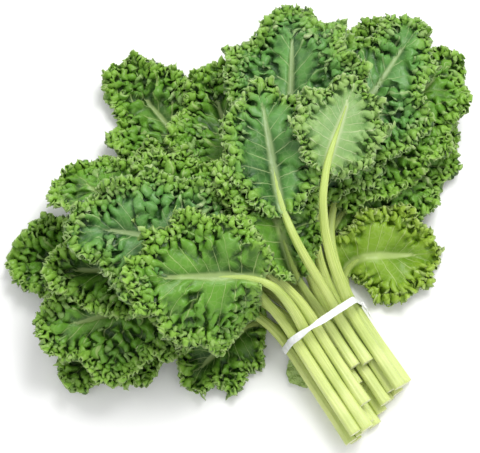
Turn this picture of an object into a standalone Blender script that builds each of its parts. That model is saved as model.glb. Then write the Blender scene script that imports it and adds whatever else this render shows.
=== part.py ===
"""A bunch of curly kale, lying down and held by a paper twist tie.

Each leaf is two solids: a pale stalk that runs on as the midrib, and a waved
green blade that the rib carries. The leaves are laid one after another on the
heap below them, from the table LEAVES, and the tie goes round the stalks.

Run with: blender --background --python part.py
Units are metres, +Z is up, +Y runs from the cut ends to the leaf tips.
"""

import math
from collections import namedtuple

import bmesh
import bpy
import numpy as np

MM = 0.001
SEED = 11

# ---------------------------------------------------------------- stalks
STALK_SIDES = 8
CUT_RADIUS = 5.4 * MM  # at the cut end, where the stalk flares
TIE_RADIUS = 4.6 * MM  # where the tie holds it
BLADE_RADIUS = 3.1 * MM  # where the blade starts
TIP_RADIUS = 1.0 * MM  # at the end of the midrib
TAIL_STATIONS = 3  # rings from the cut end to the tie, which stay level
NECK = 6.0 * MM  # past the tie, where a stalk may start to rise
PETIOLE_STATIONS = 5  # rings from the neck to the blade
LEAN_START = -4.0 * MM  # where a stalk starts to take its lead, past the tie
LEAN_LENGTH = 34.0 * MM  # over which it does
BEND_START = 15.0 * MM  # where it starts to turn
SLIMMEST = 0.82  # stalk size of the narrowest leaf, as a share of the full one
FULL_HALF = 55.0 * MM  # half width of a leaf with a full-size stalk

# ---------------------------------------------------------------- blades
BLADE_THICKNESS = 0.95 * MM
RIB_GAP = 0.45 * MM  # between the rib and the blade that lies on it
RIB_SLACK = 0.35 * MM  # more of it, for the rib's bends
STRIP_MARGIN = 1.6 * MM  # how far the level strip over the rib goes past the rib
LEAST_REACH = 7.0 * MM  # from that strip to the margin
STRIP_CURL = 0.3  # share of the blade's own rise that the strip keeps
DIMPLE = 1.6 * MM  # unevenness of the blade between rib and margin
TIP_REACH = 0.66  # of the last column, as a share of the half width
BASE_HALF = 0.30  # half width at the blade's base, as a share of the widest
WIDEST = 0.58  # where on the midrib the blade is widest
TIP_NARROWING = 0.36  # share of the width that is lost from there to the tip
COLUMNS = 10  # on each side of the midrib
MARGIN_STEPS = 3  # of the margin's zigzag from one column to the next
RING_SHARES = (0.0, 0.42, 0.75, 1.0)  # of the way from the rib strip to the margin
BACK_ANGLE = 98.0  # side veins at the blade's base lean back this far, degrees
FORWARD_ANGLE = 24.0  # and those near the tip point forward
LEAN_POWER = 1.3  # above 1, the side veins stay steep for longer
STEEPEST = 0.42  # least sine of a side vein's angle in placing the strip's edge
TIP_STRIP = 1.6  # length of the strip past the rib's end, in strip widths
FRILL_HEIGHT = 7.0 * MM  # zigzag of the margin, up and down
FRILL_RANGE = (0.6, 1.3)  # how much of that height a point takes
FRILL_BASE = 0.35  # share of the frill at the blade's base
FRILL_GROWTH = 2.2  # how soon the frill is full: above 1, before the tip
NOTCH_RANGE = (-0.2, 0.5)  # how far a raised point is set in, of the last ring
TOOTH_RANGE = (-0.2, 0.1)  # and how far a lowered one is
LOBES = 3.5  # large waves on each side of a blade
LOBE_DEPTH = 0.13  # of the lobes in the outline, as a share of the half width
LOBE_CHANCE = 0.10  # unevenness of the outline

# ---------------------------------------------------------------- heap
CELL = 1.0 * MM  # of the height map that the leaves are laid on
SAMPLE = 0.8 * MM  # spacing of the points that are tested on each triangle
CLEARANCE = 0.7 * MM  # between a leaf and the heap below it
UNDERSIDE = 0.6 * MM  # from a blade's middle surface to its lowest face
MAP_REACH = 0.32  # half the side of the square that the map covers
CORE_BREADTH = 0.86  # share of a stalk's breadth that presses on the heap
DRAPE_STEPS = 10  # how far a leaf's stiffness carries a lift along it
STIFF_ROUNDS = 3  # rounds in which a leaf is lifted as a whole
LATE_STEPS = 3  # how far a lift is carried in the rounds after them
SETTLE_ROUNDS = 9
ENOUGH = 0.02 * MM  # a shortfall that is left alone

# ---------------------------------------------------------------- twist tie
TIE_Y = -85.0 * MM  # before the whole bunch is centred
TIE_WIDTH = 6.4 * MM
TIE_THICKNESS = 0.9 * MM
TIE_GAP = 0.8 * MM  # between the ribbon and the stalks
TIE_BED = 2.1 * MM  # room that the bottom stalks leave for the ribbon
TIE_POINTS = 48
CORNER_POINTS = 6  # on each rounded corner, before the points are spaced evenly
PINCH_X = -8.0 * MM  # where the ribbon is pinched on top, before centring
PINCH_REACH = 6.0 * MM
PINCH_WIDTH = 0.56  # share of the ribbon's width that is left there
PINCH_HEIGHT = 1.0 * MM  # that it stands up there
ENDS_HEIGHT = 13.0 * MM  # of the twisted ends on the ribbon's right side
ENDS_ROOT = 0.9 * MM  # out from the ribbon's middle surface
ENDS_LENGTH = 17.0 * MM
ENDS_RADIUS = 1.7 * MM
ENDS_FLATNESS = 0.7  # the smaller breadth of the twisted pair, as a share
ENDS_TAPER = 0.35
ENDS_DROP = 5.0 * MM
ENDS_TURNS = 1.6
ENDS_RINGS = 9

# ---------------------------------------------------------------- leaflet
LEAFLET_START = -119.0 * MM  # along Y, on the lowest left stalk, before centring
LEAFLET_END = -94.0 * MM
LEAFLET_REACH = 14.0 * MM
LEAFLET_HEIGHTS = (6.5 * MM, 6.0 * MM, 4.6 * MM)  # at the root, the middle, the margin
LEAFLET_WAVES = (0.0, 0.8 * MM, 2.2 * MM)  # up and down at the same places
LEAFLET_COLUMNS = 8

# One row for each leaf, from the bottom of the heap to the top.
# x: where its stalk crosses the tie. lead: heading as it leaves the tie, in
# degrees to the right of +Y. turn: how far it bends by the middle of the blade.
# tail: tie to cut end. petiole: tie to blade. rib: length of the midrib.
# half: half the blade's width. roll: tilt about the rib, right side up.
# cup: how far the margins rise. wave: height of the large waves.
# face: 1 with the upper side up, -1 with the underside up. Lengths are in mm.
Leaf = namedtuple("Leaf", "x lead turn tail petiole rib half roll cup wave face tone")
LEAVES = (
    Leaf(-22, -20, -80, 92, 35, 58, 40, 4, 4, 8, 1, "green"),
    Leaf(-12, -20, -68, 88, 84, 120, 42, 0, 6, 9, 1, "green"),
    Leaf(-2, -18, -38, 90, 98, 136, 58, 0, 6, 9, 1, "green"),
    Leaf(8, 0, -7, 84, 102, 142, 60, 0, 8, 10, 1, "green"),
    Leaf(18, 12, 45, 80, 98, 138, 58, 0, 6, 9, 1, "green"),
    Leaf(28, 15, 70, 78, 72, 108, 50, -4, 6, 9, 1, "green"),
    Leaf(38, 20, 96, 75, 30, 58, 42, -6, 2, 7, 1, "yellow"),
    Leaf(-27, -20, -52, 91, 78, 106, 56, 4, 8, 10, 1, "green"),
    Leaf(-17, -18, -38, 90, 82, 110, 46, 0, 8, 10, 1, "green"),
    Leaf(-7, -10, -24, 86, 94, 118, 56, 0, 10, 10, 1, "green"),
    Leaf(3, 0, 14, 55, 86, 122, 52, 0, 8, 10, 1, "green"),
    Leaf(35, 12, 63, 76, 86, 134, 54, -4, 8, 10, 1, "green"),
    Leaf(24, 10, 56, 74, 97, 140, 54, 0, 6, 8, 1, "blue"),
    Leaf(14, 8, 27, 80, 97, 136, 62, 0, 14, 9, 1, "blue"),
    Leaf(-22, -12, 4, 88, 66, 92, 48, 0, 8, 10, 1, "green"),
    Leaf(-2, -14, -34, 72, 76, 104, 58, 2, 6, 8, 1, "blue"),
    Leaf(8.5, -6, 20, 42, 40, 98, 42, 4, 6, 9, 1, "green"),
    Leaf(19, -8, 32, 45, 84, 88, 44, -2, 4, 6, 1, "blue"),
    Leaf(29.5, 9, 42, 76, 102, 58, 40, 0, 3, 6, -1, "blue"),
    Leaf(-12, -10, -50, 90, 50, 70, 58, 0, 3, 6, 1, "blue"),
)

# Colours are linear, roughness is the Principled value.
STALK_FINISH = ("kale_stalk", (0.50, 0.62, 0.16), 0.42)
TIE_FINISH = ("tie_paper", (0.86, 0.87, 0.88), 0.55)
BLADE_FINISHES = {
    "green": ("kale_blade_green", (0.10, 0.26, 0.035), 0.48),
    "blue": ("kale_blade_blue", (0.09, 0.24, 0.07), 0.5),
    "yellow": ("kale_blade_yellow", (0.20, 0.33, 0.03), 0.46),
}


def remove_scene_objects():
    for obj in list(bpy.data.objects):
        bpy.data.objects.remove(obj, do_unlink=True)


def make_material(name, colour, roughness):
    material = bpy.data.materials.get(name)
    if material is None:
        material = bpy.data.materials.new(name)
        material.use_nodes = True
        shader = material.node_tree.nodes["Principled BSDF"]
        shader.inputs["Base Color"].default_value = (*colour, 1.0)
        shader.inputs["Roughness"].default_value = roughness
        shader.inputs["Metallic"].default_value = 0.0
    return material


def make_object(name, points, faces, finish, smooth):
    mesh = bpy.data.meshes.new(name)
    mesh.from_pydata([tuple(p) for p in points], [], faces)
    mesh.materials.append(make_material(*finish))
    obj = bpy.data.objects.new(name, mesh)
    bpy.context.scene.collection.objects.link(obj)
    build = bmesh.new()
    build.from_mesh(mesh)
    bmesh.ops.recalc_face_normals(build, faces=build.faces)
    if build.calc_volume(signed=True) < 0:
        bmesh.ops.reverse_faces(build, faces=build.faces)
    build.to_mesh(mesh)
    build.free()
    if smooth:
        mesh.shade_smooth()
        mesh.set_sharp_from_angle(angle=math.radians(50))
    return obj


def ease(share):
    share = np.clip(share, 0.0, 1.0)
    return share * share * (3.0 - 2.0 * share)


def between(share, start, end):
    return start + (end - start) * share


# ---------------------------------------------------------------- the heap
class Heap:
    """A height map of what has been laid so far."""

    def __init__(self):
        cells = int(2 * MAP_REACH / CELL)
        self.height = np.zeros((cells, cells))

    def cells(self, points):
        index = ((points[:, :2] + MAP_REACH) / CELL).astype(int)
        return index[:, 0], index[:, 1]

    def lay(self, points):
        column, row = self.cells(points)
        np.maximum.at(self.height, (column, row), points[:, 2])

    def shortfall(self, points):
        """How far each point is below the heap and its clearance, or below the floor."""
        column, row = self.cells(points)
        under = self.height[column, row]
        return np.where(under > 0, under + CLEARANCE, 0.0) - points[:, 2]


def sample_weights(count):
    """Barycentric weights of an even grid with this many steps to a side."""
    rows = []
    for i in range(count + 1):
        for j in range(count + 1 - i):
            rows.append((i / count, j / count, (count - i - j) / count))
    return np.array(rows)


def sample_triangles(points, triangles):
    """Points spread evenly over the triangles, with the triangle that each is on."""
    corners = points[triangles]
    sides = corners - np.roll(corners, 1, axis=1)
    longest = np.sqrt((sides**2).sum(axis=2)).max(axis=1)
    steps = np.clip(4 * np.ceil(longest / SAMPLE / 4), 4, 64).astype(int)
    places = []
    owners = []
    for count in np.unique(steps):
        chosen = np.nonzero(steps == count)[0]
        weights = sample_weights(count)
        spread = np.einsum("wk,tkc->twc", weights, corners[chosen])
        places.append(spread.reshape(-1, 3))
        owners.append(np.repeat(chosen, len(weights)))
    return np.concatenate(places), np.concatenate(owners)


# ---------------------------------------------------------------- one leaf
def route_of(leaf):
    """The stalk's way in plan, a point every millimetre, with its headings."""
    along = np.arange(-leaf.tail, leaf.petiole + leaf.rib + 1.0, 1.0) * MM
    bend_end = (leaf.petiole + 0.4 * leaf.rib) * MM
    bend = ease((along - BEND_START) / (bend_end - BEND_START))
    lean = leaf.lead * ease((along - LEAN_START) / LEAN_LENGTH)
    heading = np.radians(lean + leaf.turn * bend)
    x = np.concatenate(([0.0], np.cumsum(np.sin(heading[:-1])))) * MM
    y = np.concatenate(([0.0], np.cumsum(np.cos(heading[:-1])))) * MM
    at_tie = int(round(leaf.tail))
    x += leaf.x * MM - x[at_tie]
    y += TIE_Y - y[at_tie]
    return along, x, y, heading


def stations_of(leaf):
    """Distances along the stalk at which it has a ring."""
    tail = np.linspace(-leaf.tail, 0.0, TAIL_STATIONS)
    petiole = np.linspace(NECK / MM, leaf.petiole, PETIOLE_STATIONS)[:-1]
    rib = leaf.petiole + leaf.rib * np.linspace(0.0, 1.0, COLUMNS)
    return np.concatenate((tail, petiole, rib)) * MM


def stalk_radius(leaf, along):
    """Radius at each distance, widest at the cut and thinnest at the tip."""
    size = between(min(1.0, leaf.half * MM / FULL_HALF), SLIMMEST, 1.0)
    places = np.array([-leaf.tail, -0.5 * leaf.tail, 0, leaf.petiole, leaf.petiole + leaf.rib])
    radii = np.array([CUT_RADIUS, TIE_RADIUS, TIE_RADIUS, BLADE_RADIUS, TIP_RADIUS])
    return size * np.interp(along, places * MM, radii)


def stalk_rings(centres, headings, slopes, radii, breadth=1.0):
    """Rings of points square to the stalk, each with a flat facet below."""
    turns = (np.arange(STALK_SIDES) + 0.5) * math.tau / STALK_SIDES
    side = np.stack((np.cos(headings), -np.sin(headings), 0 * headings), axis=1)
    side *= breadth
    lift = np.stack(
        (
            -np.sin(headings) * np.sin(slopes),
            -np.cos(headings) * np.sin(slopes),
            np.cos(slopes),
        ),
        axis=1,
    )
    ring = (
        np.sin(turns)[None, :, None] * side[:, None, :]
        - np.cos(turns)[None, :, None] * lift[:, None, :]
    )
    return centres[:, None, :] + ring * radii[:, None, None]


def stalk_faces(ring_count):
    sides = STALK_SIDES
    faces = [tuple(range(sides))]
    for ring in range(ring_count - 1):
        low = ring * sides
        for k in range(sides):
            after = (k + 1) % sides
            faces.append((low + k, low + after, low + sides + after, low + sides + k))
    last = (ring_count - 1) * sides
    faces.append(tuple(last + k for k in reversed(range(sides))))
    return faces


def triangles_of(faces):
    found = []
    for face in faces:
        for k in range(1, len(face) - 1):
            found.append((face[0], face[k], face[k + 1]))
    return np.array(found)


def half_profile(share):
    """Half width along the rib, as a share of the widest."""
    swell = np.sin(0.5 * math.pi * np.clip(share / WIDEST, 0, 1))
    fall = 1.0 - TIP_NARROWING * ease((share - WIDEST) / (1.0 - WIDEST))
    return between(swell, BASE_HALF, 1.0) * fall


def blade_columns(leaf, random):
    """Direction and length of each column, from the base's left, round the tip."""
    share = np.linspace(0.0, 1.0, COLUMNS)
    lean = between(share**LEAN_POWER, BACK_ANGLE, FORWARD_ANGLE)
    columns = []
    for side in (-1, 1):
        for index in range(COLUMNS):
            lobe = 1.0 + LOBE_DEPTH * math.cos(math.tau * LOBES * share[index] + side)
            reach = leaf.half * MM * half_profile(share[index]) * lobe
            reach *= 1.0 + LOBE_CHANCE * random.uniform(-1, 1)
            columns.append((side, index, math.radians(lean[index]), reach))
    left = columns[:COLUMNS]
    right = columns[COLUMNS:]
    tip = (0, COLUMNS - 1, 0.0, TIP_REACH * leaf.half * MM)
    return left + [tip] + right[::-1]


class Sheet:
    """A blade's middle surface: points, triangles and how each point is held."""

    def __init__(self, leaf, random):
        self.leaf = leaf
        self.columns = blade_columns(leaf, random)
        self.points = []
        self.hold = []  # station share for a point that the rib carries, or None
        self.triangles = []
        self.links = []
        self.build(random)
        self.points = np.array(self.points)
        self.triangles = np.array(self.triangles)
        self.links = np.array(self.links)

    def add(self, place, carried):
        self.points.append(place)
        self.hold.append(carried)
        return len(self.points) - 1

    def build(self, random):
        leaf = self.leaf
        along, x, y, heading = route_of(leaf)
        first = TAIL_STATIONS + PETIOLE_STATIONS - 1
        stations = stations_of(leaf)
        phase = random.uniform(0, math.tau)
        tilt = math.tan(math.radians(leaf.roll))
        rib_points = {}
        grid = []
        for order, (side, index, lean, reach) in enumerate(self.columns):
            station = stations[first + index]
            radius = stalk_radius(leaf, station)
            strip = radius + STRIP_MARGIN
            rx = np.interp(station, along, x)
            ry = np.interp(station, along, y)
            turned = np.interp(station, along, heading) + side * lean
            step = np.array((math.sin(turned), math.cos(turned)))
            if index not in rib_points:
                rib_points[index] = self.add((rx, ry, 0.0), station)
            inner = strip / max(math.sin(lean), STEEPEST) if side else strip * TIP_STRIP
            forward = inner * math.cos(lean)
            reach = max(reach, inner + LEAST_REACH)
            ring = [rib_points[index]]
            large = math.sin(2 * math.tau * LOBES * order / len(self.columns) + phase)
            for place, share in enumerate(RING_SHARES):
                distance = between(share, inner, reach)
                lateral = distance * math.sin(lean) * side
                rise = lateral * tilt + leaf.cup * MM * share**2
                rise += leaf.wave * MM * share**1.5 * large
                if 0 < place < len(RING_SHARES) - 1:
                    rise += DIMPLE * share * random.uniform(-1, 1)
                carried = station + forward if place == 0 else None
                if place == len(RING_SHARES) - 1:
                    upward = 1.0 if order * MARGIN_STEPS % 2 else -1.0
                    rise += upward * self.frill_at(index) * random.uniform(*FRILL_RANGE)
                xy = np.array((rx, ry)) + step * distance
                ring.append(self.add((xy[0], xy[1], rise), carried))
            grid.append(ring)
        self.join(grid, random)

    def frill_at(self, index):
        """Height of the frill, lower at the blade's base."""
        growth = ease(FRILL_GROWTH * index / (COLUMNS - 1))
        return FRILL_HEIGHT * between(growth, FRILL_BASE, 1.0)

    def join(self, grid, random):
        """Triangles between columns, with more points in the frilled margin."""
        margin = [grid[0][-1]]
        for order, (left, right) in enumerate(zip(grid[:-1], grid[1:])):
            for k in range(len(left) - 2):
                self.quad(left[k], left[k + 1], right[k + 1], right[k])
            frill = self.frill_at(self.columns[order][1])
            start = np.array(self.points[left[-1]])
            end = np.array(self.points[right[-1]])
            root = 0.5 * (np.array(self.points[left[-2]]) + np.array(self.points[right[-2]]))
            outward = 0.5 * (start + end)[:2] - root[:2]
            edge = [left[-1]]
            for step in range(1, MARGIN_STEPS):
                place = between(step / MARGIN_STEPS, start, end)
                upward = 1.0 if (order * MARGIN_STEPS + step) % 2 else -1.0
                inward = random.uniform(*(NOTCH_RANGE if upward > 0 else TOOTH_RANGE))
                place[:2] -= outward * inward
                place[2] += upward * frill * random.uniform(*FRILL_RANGE)
                edge.append(self.add(tuple(place), None))
            edge.append(right[-1])
            for step in range(MARGIN_STEPS):
                anchor = left[-2] if 2 * step < MARGIN_STEPS else right[-2]
                self.triangle(anchor, edge[step], edge[step + 1])
                if 2 * step < MARGIN_STEPS <= 2 * step + 2:
                    self.triangle(anchor, edge[step + 1], right[-2])
            margin += edge[1:]
        self.rim = list(grid[0][:-1]) + margin + list(grid[-1][-2::-1])

    def quad(self, a, b, c, d):
        if a == d:
            self.triangle(a, b, c)
        else:
            self.triangle(a, b, c)
            self.triangle(a, c, d)

    def triangle(self, a, b, c):
        self.triangles.append((a, b, c))
        self.links += [(a, b), (b, c), (c, a)]

    def rib_rows(self):
        return [k for k, held in enumerate(self.hold) if held is not None]


def vertex_normals(points, triangles):
    corners = points[triangles]
    flat = np.cross(corners[:, 1] - corners[:, 0], corners[:, 2] - corners[:, 0])
    normals = np.zeros_like(points)
    for k in range(3):
        np.add.at(normals, triangles[:, k], flat)
    normals[normals[:, 2] < 0] *= -1
    return normals / np.linalg.norm(normals, axis=1)[:, None]


def thicken(points, triangles, rim):
    """Close a sheet into a thin solid whose two faces are split alike."""
    normals = vertex_normals(points, triangles)
    half = 0.5 * BLADE_THICKNESS
    upper = points + normals * half
    lower = points - normals * half
    count = len(points)
    faces = [tuple(t) for t in triangles]
    faces += [(a + count, c + count, b + count) for a, b, c in triangles]
    for a, b in zip(rim, rim[1:] + rim[:1]):
        faces += [(b, a, a + count), (b, a + count, b + count)]
    return np.concatenate((upper, lower)), faces


class LaidLeaf:
    """A leaf's stalk and blade, raised until they clear the heap."""

    def __init__(self, leaf, random):
        self.leaf = leaf
        self.sheet = Sheet(leaf, random)
        along, x, y, heading = route_of(leaf)
        self.stations = stations_of(leaf)
        self.x = np.interp(self.stations, along, x)
        self.y = np.interp(self.stations, along, y)
        self.headings = np.interp(self.stations, along, heading)
        self.radii = stalk_radius(leaf, self.stations)
        self.belly = self.radii * math.cos(math.pi / STALK_SIDES)
        self.stalk_faces = stalk_faces(len(self.stations))
        self.stalk_triangles = triangles_of(self.stalk_faces)
        count = len(self.stations)
        self.lift = np.zeros(count + len(self.sheet.points))
        self.lift[TAIL_STATIONS - 1 : TAIL_STATIONS + 1] = TIE_BED
        self.links = self.all_links(count)

    def all_links(self, count):
        """Pairs of heights that pull on each other: along the stalk and over the sheet."""
        pairs = [(k, k + 1) for k in range(count - 1)] * 2
        for a, b in self.sheet.links:
            pairs.append((a + count, b + count))
        return np.array(pairs)

    def heights(self):
        count = len(self.stations)
        lift = self.lift[:count]
        centre = self.belly + lift
        slopes = np.arctan(np.gradient(centre, self.stations))
        return centre, slopes

    def carry(self):
        """Give the points that the rib carries the rib's own lift."""
        count = len(self.stations)
        for row in self.sheet.rib_rows():
            place = self.sheet.hold[row]
            self.lift[count + row] = np.interp(place, self.stations, self.lift[:count])

    def stalk_points(self, breadth=1.0):
        centre, slopes = self.heights()
        centres = np.stack((self.x, self.y, centre), axis=1)
        rings = stalk_rings(centres, self.headings, slopes, self.radii, breadth)
        return rings.reshape(-1, 3)

    def sheet_points(self):
        count = len(self.stations)
        centre, slopes = self.heights()
        points = self.sheet.points.copy()
        held = self.sheet.rib_rows()
        offset = (self.radii + RIB_GAP + 0.5 * BLADE_THICKNESS) / np.cos(slopes)
        offset += RIB_SLACK
        free = np.ones(len(points), bool)
        free[held] = False
        for row in held:
            place = self.sheet.hold[row]
            level = np.interp(place, self.stations, centre + self.leaf.face * offset)
            points[row, 2] = level + STRIP_CURL * points[row, 2]
        points[free, 2] += self.lift[count:][free] + self.base
        return points

    @property
    def base(self):
        """Height of the free part of the sheet before it is lifted."""
        return BLADE_RADIUS * (1 + self.leaf.face) + BLADE_THICKNESS

    def settle(self, heap):
        count = len(self.stations)
        for turn in range(SETTLE_ROUNDS):
            need = np.zeros(len(self.lift))
            core = self.stalk_points(CORE_BREADTH)
            places, owners = sample_triangles(core, self.stalk_triangles)
            self.gather(need, heap.shortfall(places), owners, self.stalk_triangles // STALK_SIDES)
            sheet = self.sheet_points()
            places, owners = sample_triangles(sheet, self.sheet.triangles)
            places[:, 2] -= UNDERSIDE
            self.gather(need, heap.shortfall(places), owners, self.sheet.triangles + count)
            self.share_need(need, count)
            if need.max() < ENOUGH:
                break
            floor = self.lift + need
            steps = DRAPE_STEPS if turn < STIFF_ROUNDS else LATE_STEPS
            for _ in range(steps):
                self.lift = np.maximum(floor, self.spread(np.maximum(self.lift, floor)))
                self.lift[: TAIL_STATIONS - 1] = floor[: TAIL_STATIONS - 1].max()
                self.lift[TAIL_STATIONS - 1] = floor[:TAIL_STATIONS].max()
                self.carry()
        self.carry()

    def gather(self, need, short, owners, corners):
        worst = np.zeros(len(corners))
        np.maximum.at(worst, owners, short)
        for k in range(3):
            np.maximum.at(need, corners[:, k], worst)

    def share_need(self, need, count):
        """Pass what a carried point needs on to the stations that carry it."""
        for row in self.sheet.rib_rows():
            if need[count + row] <= 0:
                continue
            place = self.sheet.hold[row]
            after = int(np.clip(np.searchsorted(self.stations, place), 1, count - 1))
            for station in (after - 1, after):
                need[station] = max(need[station], need[count + row])
            need[count + row] = 0.0

    def spread(self, values):
        total = values * 2.0
        weight = np.full(len(values), 2.0)
        for a, b in ((0, 1), (1, 0)):
            np.add.at(total, self.links[:, a], values[self.links[:, b]])
            np.add.at(weight, self.links[:, a], 1.0)
        return total / weight

    def solids(self):
        stalk = self.stalk_points()
        stalk[:, 2] = np.maximum(stalk[:, 2], 0.0)
        core = self.stalk_points(CORE_BREADTH)
        blade, faces = thicken(self.sheet_points(), self.sheet.triangles, self.sheet.rim)
        blade[:, 2] = np.maximum(blade[:, 2], 0.0)
        return stalk, core, blade, faces


def lay_leaves():
    """Lay every leaf on the heap and return the solids' points and faces."""
    heap = Heap()
    laid = []
    for number, leaf in enumerate(LEAVES, start=1):
        random = np.random.default_rng(SEED + number)
        one = LaidLeaf(leaf, random)
        one.settle(heap)
        stalk, core, blade, blade_faces = one.solids()
        for points, triangles in ((core, one.stalk_triangles), (blade, np.array(blade_faces))):
            places, _ = sample_triangles(points, triangles)
            heap.lay(places)
        laid.append((number, leaf, stalk, one.stalk_faces, blade, blade_faces))
    return laid


# ---------------------------------------------------------------- twist tie
def convex_outline(points):
    """Corners of the smallest convex outline round these points, going round once."""
    points = sorted(set((round(a, 6), round(b, 6)) for a, b in points))

    def half(sequence):
        chain = []
        for p in sequence:
            while len(chain) > 1:
                (ax, ay), (bx, by) = chain[-2:]
                if (bx - ax) * (p[1] - ay) - (by - ay) * (p[0] - ax) > 0:
                    break
                chain.pop()
            chain.append(p)
        return chain[:-1]

    return half(points) + half(points[::-1])


def rounded_outline(corners, gap, count):
    """Evenly spaced points on the outline pushed out by the gap, with round corners."""
    fine = []
    for k, (x, z) in enumerate(corners):
        px, pz = corners[k - 1]
        nx, nz = corners[(k + 1) % len(corners)]
        start = math.atan2(z - pz, x - px) - math.pi / 2
        end = math.atan2(nz - z, nx - x) - math.pi / 2
        while end < start:
            end += math.tau
        for share in np.linspace(0, 1, CORNER_POINTS):
            angle = between(share, start, end)
            fine.append((x + gap * math.cos(angle), z + gap * math.sin(angle)))
    fine = np.array(fine + fine[:1])
    steps = np.linalg.norm(np.diff(fine, axis=0), axis=1)
    length = np.concatenate(([0], np.cumsum(steps)))
    even = np.linspace(0, length[-1], count, endpoint=False)
    return np.stack((np.interp(even, length, fine[:, 0]), np.interp(even, length, fine[:, 1])), axis=1)


def tie_loop(laid):
    """The ribbon: a flat band round the stalks, pinched at one place on top."""
    near = []
    for _, _, stalk, faces, _, _ in laid:
        places, _ = sample_triangles(stalk, triangles_of(faces))
        close = places[np.abs(places[:, 1] - TIE_Y) < 0.5 * TIE_WIDTH + 1.0 * MM]
        near += [(p[0], p[2]) for p in close]
    path = rounded_outline(convex_outline(near), TIE_GAP + 0.5 * TIE_THICKNESS, TIE_POINTS)
    after = np.roll(path, -1, axis=0) - np.roll(path, 1, axis=0)
    after /= np.linalg.norm(after, axis=1)[:, None]
    outward = np.stack((after[:, 1], -after[:, 0]), axis=1)
    top = path[:, 1] > path[:, 1].mean()
    pinch = np.where(top, np.exp(-(((path[:, 0] - PINCH_X) / PINCH_REACH) ** 2)), 0.0)
    points = []
    for (x, z), (ox, oz), tight in zip(path, outward, pinch):
        width = 0.5 * TIE_WIDTH * between(tight, 1.0, PINCH_WIDTH)
        inner = -0.5 * TIE_THICKNESS
        outer = 0.5 * TIE_THICKNESS + PINCH_HEIGHT * tight
        for side, depth in ((-1, inner), (1, inner), (1, outer), (-1, outer)):
            points.append((x + ox * depth, TIE_Y + side * width, z + oz * depth))
    faces = []
    for k in range(TIE_POINTS):
        following = (k + 1) % TIE_POINTS
        for j in range(4):
            beside = (j + 1) % 4
            faces.append((4 * k + j, 4 * k + beside, 4 * following + beside, 4 * following + j))
    return np.array(points), faces


def tie_ends(loop):
    """The ribbon's two ends, twisted together into a short tapered cord."""
    right = loop[:, 0].max() - 0.5 * TIE_THICKNESS
    points = []
    for ring in range(ENDS_RINGS):
        share = ring / (ENDS_RINGS - 1)
        radius = ENDS_RADIUS * (1.0 - ENDS_TAPER * share)
        drop = ENDS_DROP * share**2
        for k in range(4):
            angle = math.tau * (ENDS_TURNS * share + k / 4)
            flat = ENDS_FLATNESS if k % 2 else 1.0
            x = right + ENDS_ROOT + radius * flat * math.cos(angle)
            z = ENDS_HEIGHT - drop + radius * flat * math.sin(angle)
            points.append((x, TIE_Y - share * ENDS_LENGTH, z))
    faces = [(3, 2, 1, 0)]
    for ring in range(ENDS_RINGS - 1):
        low = 4 * ring
        for k in range(4):
            beside = (k + 1) % 4
            faces.append((low + k, low + beside, low + 4 + beside, low + 4 + k))
    last = 4 * (ENDS_RINGS - 1)
    faces.append((last, last + 1, last + 2, last + 3))
    return np.array(points), faces


def fuse(keeper, other):
    """Join another closed body to this one and remove it."""
    union = keeper.modifiers.new("union", "BOOLEAN")
    union.operation = "UNION"
    union.solver = "EXACT"
    union.object = other
    depsgraph = bpy.context.evaluated_depsgraph_get()
    joined = bpy.data.meshes.new_from_object(keeper.evaluated_get(depsgraph))
    keeper.modifiers.clear()
    keeper.data = joined
    bpy.data.objects.remove(other, do_unlink=True)


def leaflet(random):
    """A small waved leaf lobe on the left of the lowest left stalk."""
    leaf = LEAVES[0]
    root_x = leaf.x * MM - CUT_RADIUS - RIB_GAP
    points = []
    for row in range(LEAFLET_COLUMNS):
        share = row / (LEAFLET_COLUMNS - 1)
        wave = 1.0 if row % 2 else -1.0
        reach = LEAFLET_REACH * between(math.sin(math.pi * share), BASE_HALF, 1.0)
        reach *= 1.0 + LOBE_CHANCE * wave
        forward = 2.5 * MM * share
        for place, (height, rise) in enumerate(zip(LEAFLET_HEIGHTS, LEAFLET_WAVES)):
            out = 0.5 * place
            y = between(share, LEAFLET_START, LEAFLET_END) + forward * out
            z = height + rise * (wave + 0.4 * random.uniform(-1, 1))
            points.append((root_x - reach * out, y, z))
    triangles = []
    for row in range(LEAFLET_COLUMNS - 1):
        for k in range(2):
            a = 3 * row + k
            triangles += [(a, a + 1, a + 4), (a, a + 4, a + 3)]
    count = len(points)
    rim = list(range(0, count, 3)) + [count - 2]
    rim += list(range(count - 1, 1, -3)) + [1]
    return thicken(np.array(points), np.array(triangles), rim)


def centre_of(laid):
    """The middle of the bunch's box, in plan."""
    every = np.concatenate([np.concatenate((row[2], row[4])) for row in laid])
    return 0.5 * (every[:, :2].min(axis=0) + every[:, :2].max(axis=0))


def main():
    remove_scene_objects()
    laid = lay_leaves()
    tie_points, tie_faces = tie_loop(laid)
    shift = np.append(centre_of(laid), 0.0)
    for number, leaf, stalk, stalk_sides, blade, blade_sides in laid:
        name = f"leaf_{number:02d}"
        make_object(name + "_stalk", stalk - shift, stalk_sides, STALK_FINISH, True)
        make_object(name + "_blade", blade - shift, blade_sides, BLADE_FINISHES[leaf.tone], False)
    tie = make_object("twist_tie", tie_points - shift, tie_faces, TIE_FINISH, False)
    ends_points, ends_faces = tie_ends(tie_points)
    fuse(tie, make_object("twisted_ends", ends_points - shift, ends_faces, TIE_FINISH, False))
    lobe, lobe_faces = leaflet(np.random.default_rng(SEED))
    make_object("leaf_01_leaflet", lobe - shift, lobe_faces, BLADE_FINISHES["green"], False)


main()
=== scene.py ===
# %% [markdown]
# # A bunch of curly kale
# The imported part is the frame: it gives every stalk, blade and the tie their place.
# This lesson dresses each of them. The frame is loaded first, before anything is
# made, so that every later step can ask it where things are.

# %% Load the frame
import math
import time

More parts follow.
